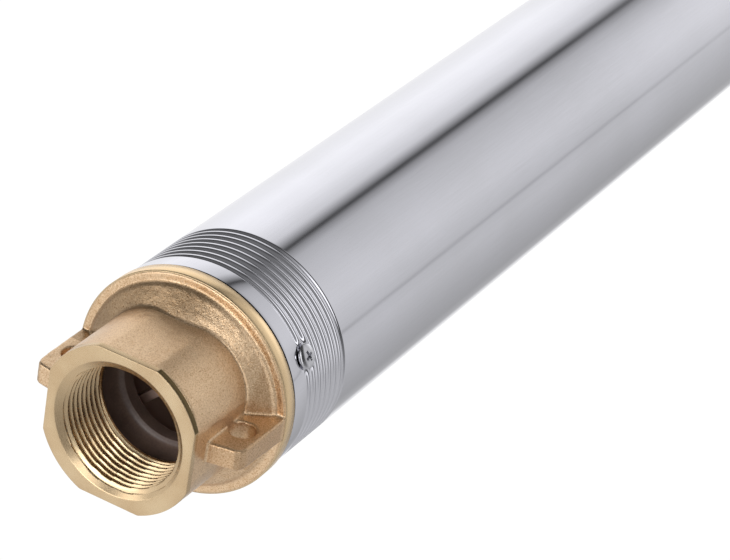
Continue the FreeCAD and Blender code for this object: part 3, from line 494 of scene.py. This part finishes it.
def makeCastHead(size):
    shells = bmesh.new()
    castBoss(shells, size)
    for side in (1, -1):
        castEar(shells, size, side)
    lathe(shells, [(radius, mouthHeight - drop) for radius, drop in size["shoulder"]], size["shoulderSteps"])
    tidy(shells)
    cutter = bmesh.new()
    for side in (1, -1):
        eye, far = side * size["eyeReach"], size["eyeHalfLength"]
        level = mouthHeight - size["eyeDrop"]
        rod(cutter, size["eyeRadius"], (eye, -far, level), (eye, far, level), size["eyeSides"])
    body = scratchObject(carved(shells, cutter))
    blocks = body.modifiers.new("blocks", "REMESH")
    blocks.mode = "VOXEL"
    blocks.voxel_size = size["voxel"] * mm
    soften = body.modifiers.new("soften", "SMOOTH")
    soften.factor = 0.5
    soften.iterations = size["softening"]
    bm = bmeshOf(body)
    bm.normal_update()
    for vert in bm.verts:
        lump = noise.noise(vert.co / (size["coarseLump"] * mm))
        lump += size["fineShare"] * noise.noise(vert.co / (size["fineLump"] * mm))
        vert.co += vert.normal * (lump * size["unevenness"] * mm)
    bore = bmesh.new()
    low, high = mouthHeight - size["foot"] - size["boreOverrun"], mouthHeight + size["boreOverrun"]
    rod(bore, size["bore"], (0, 0, low), (0, 0, high), size["boreSides"])
    bm = carved(bm, bore)
    addPiece("head_casting", bm, materials["cast_brass"], "casing", ["discharge_head"], 180)


makeCastHead(castHead)

turnedHead = {
    "faceRadius": 27.2,
    "flatDistance": 25.2,
    "faceBand": 2.1,
    "mouthRadius": 22.4,
    "mouthDepth": 2.0,
    "mouthEdge": (0.15, 0.12),
    "faceEdge": [(0.35, 0.0), (0.08, 0.1), (0.0, 0.35)],
    "faceUndercut": (1.0, 0.4),
    "flatFoot": 2.7,
    "threadMinor": 19.475,
    "threadDepth": 1.48,
    "threadPitch": 2.309,
    "threadLength": 21.5,
    "threadRows": 18,
    "threadRunOut": (0.2, 2.2),
    "threadLand": 0.15,
    "threadFlank": 0.68,
    "tolerance": 0.01,
    "steps": 288,
    "rim": [(23.6, 3.4), (23.6, 34.6), (36.2, 34.6), (36.45, 34.7),
            (36.55, 34.95), (36.55, 39.4), (36.35, 39.62), (34.42, 39.65)],
    "skirt": [(34.42, 78.0), (29.0, 78.0), (29.0, 36.0), (22.5, 36.0), (22.5, 21.5)],
}


def threadShape(phase, size):
    # 0 on the crest, 1 in the root, straight flanks between narrow lands
    slope = abs(2 * (phase % 1.0) - 1)
    return 1 - min(1.0, max(0.0, (slope - size["threadLand"]) / size["threadFlank"]))


def makeTurnedHead(size):
    cone = (size["mouthRadius"] - size["threadMinor"]) / size["mouthDepth"]
    rows = int(size["threadLength"] / size["threadPitch"] * size["threadRows"])
    mouthInset, mouthDrop = size["mouthEdge"]
    undercutInset, undercutDrop = size["faceUndercut"]
    slack = size["tolerance"]
    outline = size["rim"] + size["skirt"]
    outline += [(size["threadMinor"], size["threadLength"] * (1 - row / rows)) for row in range(rows)]
    outline += [(size["mouthRadius"] - mouthInset, mouthDrop), (size["mouthRadius"] + mouthInset, 0.0)]
    outline += [(size["faceRadius"] - inset, drop) for inset, drop in size["faceEdge"]]
    outline.append((size["faceRadius"], size["faceBand"]))
    outline.append((size["faceRadius"] - undercutInset, size["faceBand"] + undercutDrop))
    bm = bmesh.new()
    lathe(bm, [(radius, mouthHeight - drop) for radius, drop in outline], size["steps"])
    tidy(bm)
    flat = size["flatDistance"] * mm
    for vert in bm.verts:
        radius = math.hypot(vert.co.x, vert.co.y) / mm
        drop = mouthHeight - vert.co.z / mm
        if drop < size["flatFoot"] and radius > size["mouthRadius"] + undercutInset:
            inset = min(undercutInset, max(0.0, size["faceRadius"] - radius)) * mm
            vert.co.x = max(inset - flat, min(flat - inset, vert.co.x))
            vert.co.y = max(inset - flat, min(flat - inset, vert.co.y))
        elif drop <= size["threadLength"] - slack and radius < size["threadMinor"] + slack:
            angle = math.atan2(vert.co.y, vert.co.x)
            depth = size["threadDepth"] * threadShape(-drop / size["threadPitch"] - angle / fullTurn, size)
            depth *= smoothStep(size["threadLength"] - drop, *size["threadRunOut"])
            wanted = max(size["threadMinor"] + depth, size["mouthRadius"] - drop * cone)
            vert.co.x *= wanted / radius
            vert.co.y *= wanted / radius
    addPiece("head_turning", bm, materials["turned_brass"], "casing", ["discharge_head"], 50)


makeTurnedHead(turnedHead)
print("discharge head made")


# Valve cage: the moulded throat seen down the mouth, with its spoked guide

cageSizes = {
    "shell": [
        (20.0, 21.8), (22.42, 21.8), (22.42, 36.3), (28.92, 36.3), (28.92, 67.97), (26.02, 67.97),
        (26.02, 40.3), (17.0, 34.1), (17.0, 30.0), (17.1, 29.8), (17.3, 29.72), (18.3, 29.5), (19.2, 28.8),
        (19.85, 27.4), (20.15, 25.6), (20.22, 22.1),
    ],
    "shellSteps": 120,
    "boss": [(0.0, 47.3), (6.2, 47.3), (6.5, 47.0), (6.5, 35.8), (6.35, 35.45), (6.0, 35.3), (0.0, 35.3)],
    "bossSteps": 64,
    "guideRadius": 3.06,
    "guideReach": (33, 50),
    "spokeTop": 40.3,
    "spokeFoot": 46.3,
    "spokeWidth": 3.0,
    "spokeReach": (5.5, 26.5),
    "spokeEdge": 0.4,
    "firstSpoke": 45,
}


def makeCage(size):
    bm = bmesh.new()
    shell = [(radius, mouthHeight - drop) for radius, drop in size["shell"]]
    boss = [(radius, mouthHeight - drop) for radius, drop in size["boss"]]
    lathe(bm, shell, size["shellSteps"])
    lathe(bm, boss, size["bossSteps"], closed=False)
    near, far = size["spokeReach"]
    high, low = mouthHeight - size["spokeTop"], mouthHeight - size["spokeFoot"]
    for quarter in range(4):
        made = bmesh.ops.create_cube(bm, size=1)["verts"]
        bmesh.ops.scale(bm, verts=made, vec=((far - near) * mm, size["spokeWidth"] * mm, (high - low) * mm))
        bmesh.ops.translate(bm, verts=made, vec=((far + near) / 2 * mm, 0, (high + low) / 2 * mm))
        turn = Matrix.Rotation(math.radians(size["firstSpoke"] + 90 * quarter), 3, "Z")
        bmesh.ops.rotate(bm, verts=made, cent=(0, 0, 0), matrix=turn)
        edges = set(edge for vert in made for edge in vert.link_edges)
        long = [edge for edge in edges if edge.calc_length() > (far - near - 1) * mm]
        bmesh.ops.bevel(
            bm, geom=long, offset=size["spokeEdge"] * mm, affect="EDGES", segments=3, profile=0.5,
            material=-1,
        )
    tidy(bm)
    cutter = bmesh.new()
    top, foot = size["guideReach"]
    rod(cutter, size["guideRadius"], (0, 0, mouthHeight - foot), (0, 0, mouthHeight - top))
    bm = carved(bm, cutter)
    addPiece("cage_body", bm, materials["black_plastic"], "casing", ["valve_cage"], 40)


makeCage(cageSizes)

springSizes = {"wireRadius": 0.7, "wireSides": 14, "coilRadius": 9.5, "turns": 3.5, "turnSteps": 48}


def makeSpring(size):
    # a coil of wire between the spring's lower and upper seats
    low, high = (corner.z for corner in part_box("valve_spring"))
    thick = size["wireRadius"] * mm
    bm = bmesh.new()
    ring = bmesh.ops.create_circle(bm, cap_ends=True, segments=size["wireSides"], radius=thick)["verts"]
    bmesh.ops.rotate(bm, verts=ring, cent=(0, 0, 0), matrix=Matrix.Rotation(math.radians(90), 3, "X"))
    bmesh.ops.translate(bm, verts=ring, vec=(size["coilRadius"] * mm, 0, low + thick))
    steps = round(size["turns"] * size["turnSteps"])
    bmesh.ops.spin(
        bm, geom=bm.verts[:] + bm.edges[:] + bm.faces[:], cent=(0, 0, 0), axis=(0, 0, 1),
        dvec=(0, 0, (high - low - 2 * thick) / steps), angle=fullTurn * size["turns"], steps=steps,
        use_merge=False, use_duplicate=False,
    )
    tidy(bm)
    steel = materials["steel_hardware"]
    piece = addPiece("return_spring", bm, steel, "casing", ["valve_spring"], 60)
    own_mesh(piece)


makeSpring(springSizes)


# Pump tube with a rolled thread at both ends, dimpled under its locking screws

tubeSizes = {
    "outer": 36.0,
    "wall": 1.5,
    "endEdge": [(0.3, 0.0), (0.08, 0.1), (0.0, 0.35)],
    "threadStart": 7.0,
    "threadEnd": 30.5,
    "threadPitch": 3.1,
    "threadDepth": 1.0,
    "threadPhase": 0.62,
    "threadRows": 22,
    "threadMargins": (1, 2),
    "threadRise": (-0.6, 1.2),
    "threadFall": 2.4,
    "ridgeBreadth": 1.7,
    "steps": 180,
    "dimpleRadius": 4.7,
    "dimpleEdge": (-1.2, 0.6),
    "dimpleDepth": 0.4,
    "tolerance": 0.05,
    "screwAngle": 27.7,
    "screwDrop": 49.9,
}
screwLevels = [mouthHeight - tubeSizes["screwDrop"]]
screwLevels.append(sleeveFoot + sleeveTop - screwLevels[0])


def rolledGroove(phase, breadth):
    # broad rounded ridges between narrower grooves
    wave = 0.5 * (1 + math.cos(fullTurn * phase))
    return wave ** breadth


def makeTube(size):
    pitch = size["threadPitch"]
    start, end = size["threadStart"], size["threadEnd"]
    before, after = size["threadMargins"]
    rowHeight = pitch / size["threadRows"]
    rows = int((end - start + before + after) / rowHeight)
    zone = [start - before + rowHeight * row for row in range(rows)]
    lower = [sleeveFoot + drop for drop in zone]
    upper = [sleeveTop - drop for drop in reversed(zone)]
    outer, inner = size["outer"], size["outer"] - size["wall"]
    outline = [(inner, sleeveFoot)]
    outline += [(outer - inset, sleeveFoot + depth) for inset, depth in size["endEdge"]]
    outline += [(outer, level) for level in lower + upper]
    outline += [(outer - inset, sleeveTop - depth) for inset, depth in reversed(size["endEdge"])]
    outline.append((inner, sleeveTop))
    bm = bmesh.new()
    lathe(bm, outline, size["steps"])
    tidy(bm)
    screwAngle = math.radians(size["screwAngle"])
    sideways = Vector((math.cos(screwAngle), math.sin(screwAngle), 0)) * outer * mm
    spots = [sideways + Vector((0, 0, level * mm)) for level in screwLevels]
    riseFrom, riseTo = size["threadRise"]
    pressFrom, pressTo = size["dimpleEdge"]
    for vert in bm.verts:
        radius = math.hypot(vert.co.x, vert.co.y) / mm
        if radius < outer - size["tolerance"]:
            continue
        level = vert.co.z / mm
        inward = sleeveTop - level if level > (sleeveTop + sleeveFoot) / 2 else level - sleeveFoot
        angle = math.atan2(vert.co.y, vert.co.x)
        turns = (mouthHeight - level) / pitch + angle / fullTurn - size["threadPhase"]
        depth = size["threadDepth"] * rolledGroove(turns, size["ridgeBreadth"])
        depth *= smoothStep(inward, start + riseFrom, start + riseTo)
        depth *= 1 - smoothStep(inward, end - size["threadFall"], end)
        near = min((vert.co - spot).length for spot in spots) / mm
        press = 1 - smoothStep(near, size["dimpleRadius"] + pressFrom, size["dimpleRadius"] + pressTo)
        depth = depth * (1 - press) + size["dimpleDepth"] * press
        vert.co.x *= (radius - depth) / radius
        vert.co.y *= (radius - depth) / radius
    addPiece("pump_tube", bm, materials["polished_steel"], "casing", ["pump_sleeve"], 60)


makeTube(tubeSizes)

screwSizes = {
    "headHeight": 1.75,
    "seat": -0.4,
    "shankRadius": 1.97,
    "length": 5.4,
    "recessRadius": 2.15,
    "recessWidth": 1.0,
    "recessDepth": 1.5,
    "recessOverrun": 0.4,
    "recessTaper": (0.35, 0.6),
    "recessTurn": 22.0,
    "dome": [
        (1.97, 0.4), (3.5, 0.4), (3.95, 0.5), (4.0, 0.75), (3.84, 1.05), (3.4, 1.32), (2.7, 1.55),
        (1.9, 1.68), (1.0, 1.74), (0.0, 1.75),
    ],
    "steps": 64,
}


def crossRecess(bm, size):
    # two tapered bars, crossed
    for turn in (0, 90):
        made = bmesh.ops.create_cube(bm, size=1)["verts"]
        top = size["headHeight"] + size["recessOverrun"]
        deep = size["recessDepth"] + size["recessOverrun"]
        bar = Vector((2 * size["recessRadius"], size["recessWidth"], deep)) * mm
        bmesh.ops.scale(bm, verts=made, vec=bar)
        bmesh.ops.translate(bm, verts=made, vec=(0, 0, (top - deep / 2) * mm))
        for vert in made:
            if vert.co.z < (top - deep / 2) * mm:
                vert.co.x *= size["recessTaper"][0]
                vert.co.y *= size["recessTaper"][1]
        bmesh.ops.rotate(bm, verts=made, cent=(0, 0, 0), matrix=Matrix.Rotation(math.radians(turn), 3, "Z"))


def makeScrews(size):
    both = bmesh.new()
    for level in screwLevels:
        bm = bmesh.new()
        outline = [(0.0, -size["length"]), (size["shankRadius"], -size["length"])] + size["dome"]
        lathe(bm, outline, size["steps"], closed=False)
        tidy(bm)
        cutter = bmesh.new()
        crossRecess(cutter, size)
        bm = carved(bm, cutter)
        ownTurn = Matrix.Rotation(math.radians(size["recessTurn"]), 3, "Z")
        outward = Matrix.Rotation(math.radians(90), 3, "Y")
        around = Matrix.Rotation(math.radians(tubeSizes["screwAngle"]), 3, "Z")
        bmesh.ops.rotate(bm, verts=bm.verts, cent=(0, 0, 0), matrix=ownTurn)
        bmesh.ops.rotate(bm, verts=bm.verts, cent=(0, 0, 0), matrix=outward)
        bmesh.ops.translate(bm, verts=bm.verts, vec=((tubeSizes["outer"] + size["seat"]) * mm, 0, level * mm))
        bmesh.ops.rotate(bm, verts=bm.verts, cent=(0, 0, 0), matrix=around)
        mesh = bpy.data.meshes.new("screw")
        bm.to_mesh(mesh)
        bm.free()
        both.from_mesh(mesh)
        bpy.data.meshes.remove(mesh)
    steel = materials["steel_hardware"]
    addPiece("locking_screws", both, steel, "casing", ["sleeve_locking_screws"], 35)


makeScrews(screwSizes)

shellSizes = {
    "outer": 36.0,
    "wall": 1.5,
    "edge": 0.35,
    "steps": 160,
    "beadDrop": 9.0,
    "beadWidth": 2.2,
    "beadDepth": 0.35,
    "beadSteps": 6,
}


def makeMotorShell(size):
    # plain tube, rolled in over the seal at each end
    low, high = (corner.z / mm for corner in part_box("motor_shell"))
    outer, inner = size["outer"], size["outer"] - size["wall"]
    outline = [(inner, low), (outer - size["edge"], low), (outer, low + size["edge"])]
    for middle in (low + size["beadDrop"], high - size["beadDrop"]):
        for step in range(-size["beadSteps"], size["beadSteps"] + 1):
            share = step / size["beadSteps"]
            depth = size["beadDepth"] * 0.5 * (1 + math.cos(math.pi * share))
            outline.append((outer - depth, middle + share * size["beadWidth"]))
    outline += [(outer, high - size["edge"]), (outer - size["edge"], high), (inner, high)]
    bm = bmesh.new()
    lathe(bm, outline, size["steps"])
    tidy(bm)
    addPiece("motor_tube", bm, materials["polished_steel"], "casing", ["motor_shell"], 50)


makeMotorShell(shellSizes)
print("tubes and screws made")


# The other pieces keep their CAD shape and take the finish of their slot

for part in frame["record"]["subparts"]:
    piece = nodes[part["node"]]
    if piece.hide_render:
        continue
    if not piece.material_slots:
        piece.data.materials.append(None)
    for holder in piece.material_slots:
        holder.material = materials[part["material_slot"]]
print("finishes given")


# Studio: a pale floor, a wrap of soft cards and three lamps

# brightness of the surrounding cards by compass angle, in zones from the ground to the zenith. The tube
# mirrors the low ones, where the dark card makes its stripe. Only reflections see the cards
studioCards = {
    "low": [
        (-180, 1.10), (-158, 1.00), (-128, 0.95), (-106, 0.85), (-96, 0.50), (-80, 0.43), (-54, 0.52),
        (-20, 0.68), (-7, 0.67), (-4, 0.50), (-1, 0.66), (28, 0.80), (44, 0.78), (74, 0.66), (85, 0.58),
        (93, 0.34), (98, 0.05), (103, 0.34), (112, 0.82), (136, 1.12), (162, 1.22), (180, 1.10),
    ],
    "horizon": [
        (-180, 0.55), (-150, 0.60), (-40, 0.58), (-12, 0.26), (10, 0.08), (140, 0.06), (162, 0.20),
        (180, 0.55),
    ],
    "ground": [(-180, 0.70), (-20, 0.62), (0, 1.30), (60, 1.50), (85, 0.55), (150, 0.62), (180, 0.70)],
    "wall": [
        (-180, 0.95), (-90, 0.95), (-50, 0.60), (-20, 0.60), (0, 1.30), (50, 1.70), (74, 0.50), (94, 0.14),
        (164, 0.14), (180, 0.95),
    ],
    "upper": [
        (-180, 0.90), (-126, 1.00), (-90, 0.90), (-60, 0.60), (-30, 0.40), (90, 0.20), (138, 0.20),
        (148, 2.40), (172, 2.40), (180, 0.90),
    ],
    "high": [
        (-180, 0.95), (-126, 0.95), (-80, 0.90), (-45, 0.80), (-15, 0.35), (20, 0.35), (48, 1.20), (66, 3.40),
        (150, 3.40), (172, 2.00), (180, 0.95),
    ],
}
# each pair of heights blends one zone into the next, from the bright ground up to the high cards
studio = {
    "cardLimit": 3.6, "groundBlend": (-0.97, -0.84), "horizonBlend": (-0.58, -0.42),
    "wallBlend": (0.13, 0.21), "upperBlend": (0.50, 0.60), "ceilingBlend": (0.85, 0.91),
    "tint": (0.985, 0.985, 1.0, 1),
}


def cardRamp(tree, share, cards, limit):
    made = wire(tree, "ValToRGB", {"Fac": share})
    ramp = made.color_ramp
    ramp.interpolation = "LINEAR"
    while len(ramp.elements) < len(cards):
        ramp.elements.new(0.5)
    for element, (angle, level) in zip(ramp.elements, cards):
        element.position = (angle + 180) / 360
        grey = level / limit
        element.color = (grey, grey, grey, 1)
    return scalar(tree, "MULTIPLY", made.outputs["Color"], limit)


def easedTo(tree, height, blend, before, after):
    share = spread(tree, height, *blend, 0, 1)
    return scalar(tree, "MULTIPLY_ADD", share, scalar(tree, "SUBTRACT", after, before), before)


def makeWorld(settings):
    world = bpy.data.worlds.new("studio")
    scene.world = world
    world.use_nodes = True
    tree = world.node_tree
    tree.nodes.clear()
    split = wire(tree, "SeparateXYZ", {0: wire(tree, "TexCoord").outputs["Generated"]})
    height = split.outputs[2]
    compass = scalar(tree, "ARCTAN2", split.outputs[1], split.outputs[0])
    share = scalar(tree, "MULTIPLY_ADD", compass, 1 / fullTurn, 0.5)
    cards = {name: cardRamp(tree, share, row, settings["cardLimit"]) for name, row in studioCards.items()}
    level = easedTo(tree, height, settings["groundBlend"], cards["ground"], cards["low"])
    level = easedTo(tree, height, settings["horizonBlend"], level, cards["horizon"])
    level = easedTo(tree, height, settings["wallBlend"], level, cards["wall"])
    level = easedTo(tree, height, settings["upperBlend"], level, cards["upper"])
    level = easedTo(tree, height, settings["ceilingBlend"], level, cards["high"])
    light = wire(tree, "Background", {"Color": settings["tint"], "Strength": level})
    paper = wire(tree, "Background", {"Color": (1, 1, 1, 1), "Strength": 1.0})
    seen = wire(tree, "LightPath").outputs["Is Camera Ray"]
    mixed = wire(tree, "MixShader", {0: seen, 1: light.outputs[0], 2: paper.outputs[0]})
    output = wire(tree, "OutputWorld")
    tree.links.new(mixed.outputs[0], output.inputs["Surface"])


makeWorld(studio)

floorSettings = {"size": 6.0, "clear": 0.0005, "paperShare": 0.92, "speckle": (0.86, 0.90), "glow": 1.03}


def makeFloor(settings):
    bm = bmesh.new()
    bmesh.ops.create_grid(bm, x_segments=1, y_segments=1, size=settings["size"] / 2)
    bmesh.ops.translate(bm, verts=bm.verts, vec=(0, 0, -settings["clear"]))
    mesh = bpy.data.meshes.new("floor")
    bm.to_mesh(mesh)
    bm.free()
    floor = bpy.data.objects.new("floor", mesh)
    scene.collection.objects.link(floor)
    material = bpy.data.materials.new("floor_paper")
    material.use_nodes = True
    tree = material.node_tree
    tree.nodes.clear()
    place = wire(tree, "TexCoord").outputs["Object"]
    speckle = spread(tree, noiseOf(tree, place, 2.0), 0.3, 0.7, *settings["speckle"])
    grey = wire(tree, "CombineColor", {0: speckle, 1: speckle, 2: speckle}).outputs[0]
    matt = wire(tree, "BsdfDiffuse", {"Color": grey})
    glow = wire(tree, "Emission", {"Color": (1, 1, 1, 1), "Strength": settings["glow"]})
    rays = wire(tree, "LightPath")
    seen = scalar(tree, "MAXIMUM", rays.outputs["Is Camera Ray"], rays.outputs["Is Transmission Ray"])
    share = scalar(tree, "MULTIPLY", seen, settings["paperShare"])
    mixed = wire(tree, "MixShader", {0: share, 1: matt.outputs[0], 2: glow.outputs[0]})
    output = wire(tree, "OutputMaterial")
    tree.links.new(mixed.outputs[0], output.inputs["Surface"])
    mesh.materials.append(material)
    floor.visible_glossy = False


makeFloor(floorSettings)

# lamps stand round the mouth: the area lamps aim a little below it, the spot straight at it
lamps = {
    "key": {"kind": "AREA", "compass": 150, "elevation": 72, "distance": 1.6, "size": 0.5, "power": 7},
    "fill": {"kind": "AREA", "compass": 55, "elevation": 8, "distance": 1.8, "size": 1.6, "power": 44},
    "mouth": {"kind": "SPOT", "compass": 54, "elevation": 52, "distance": 1.2, "size": 0.04, "power": 6},
}
mouthBeam = {"angle": 2.4, "blend": 0.3}
aimOffset = {"AREA": -0.1, "SPOT": 0.0}


def addLamp(name, settings):
    data = bpy.data.lights.new(name, settings["kind"])
    if settings["kind"] == "AREA":
        data.shape = "DISK"
        data.size = settings["size"]
    else:
        data.shadow_soft_size = settings["size"]
        data.spot_size = math.radians(mouthBeam["angle"])
        data.spot_blend = mouthBeam["blend"]
    data.energy = settings["power"]
    lamp = bpy.data.objects.new(name, data)
    scene.collection.objects.link(lamp)
    compass, rise = math.radians(settings["compass"]), math.radians(settings["elevation"])
    away = Vector((math.cos(compass) * math.cos(rise), math.sin(compass) * math.cos(rise), math.sin(rise)))
    aim = Vector((0, 0, mouthHeight * mm + aimOffset[settings["kind"]]))
    lamp.location = aim + away * settings["distance"]
    lamp.rotation_mode = "QUATERNION"
    lamp.rotation_quaternion = (-away).to_track_quat("-Z", "Y")
    lamp.visible_glossy = False


for lampName, lampSettings in lamps.items():
    addLamp(lampName, lampSettings)
scene.view_settings.view_transform = "Standard"
print("studio set")
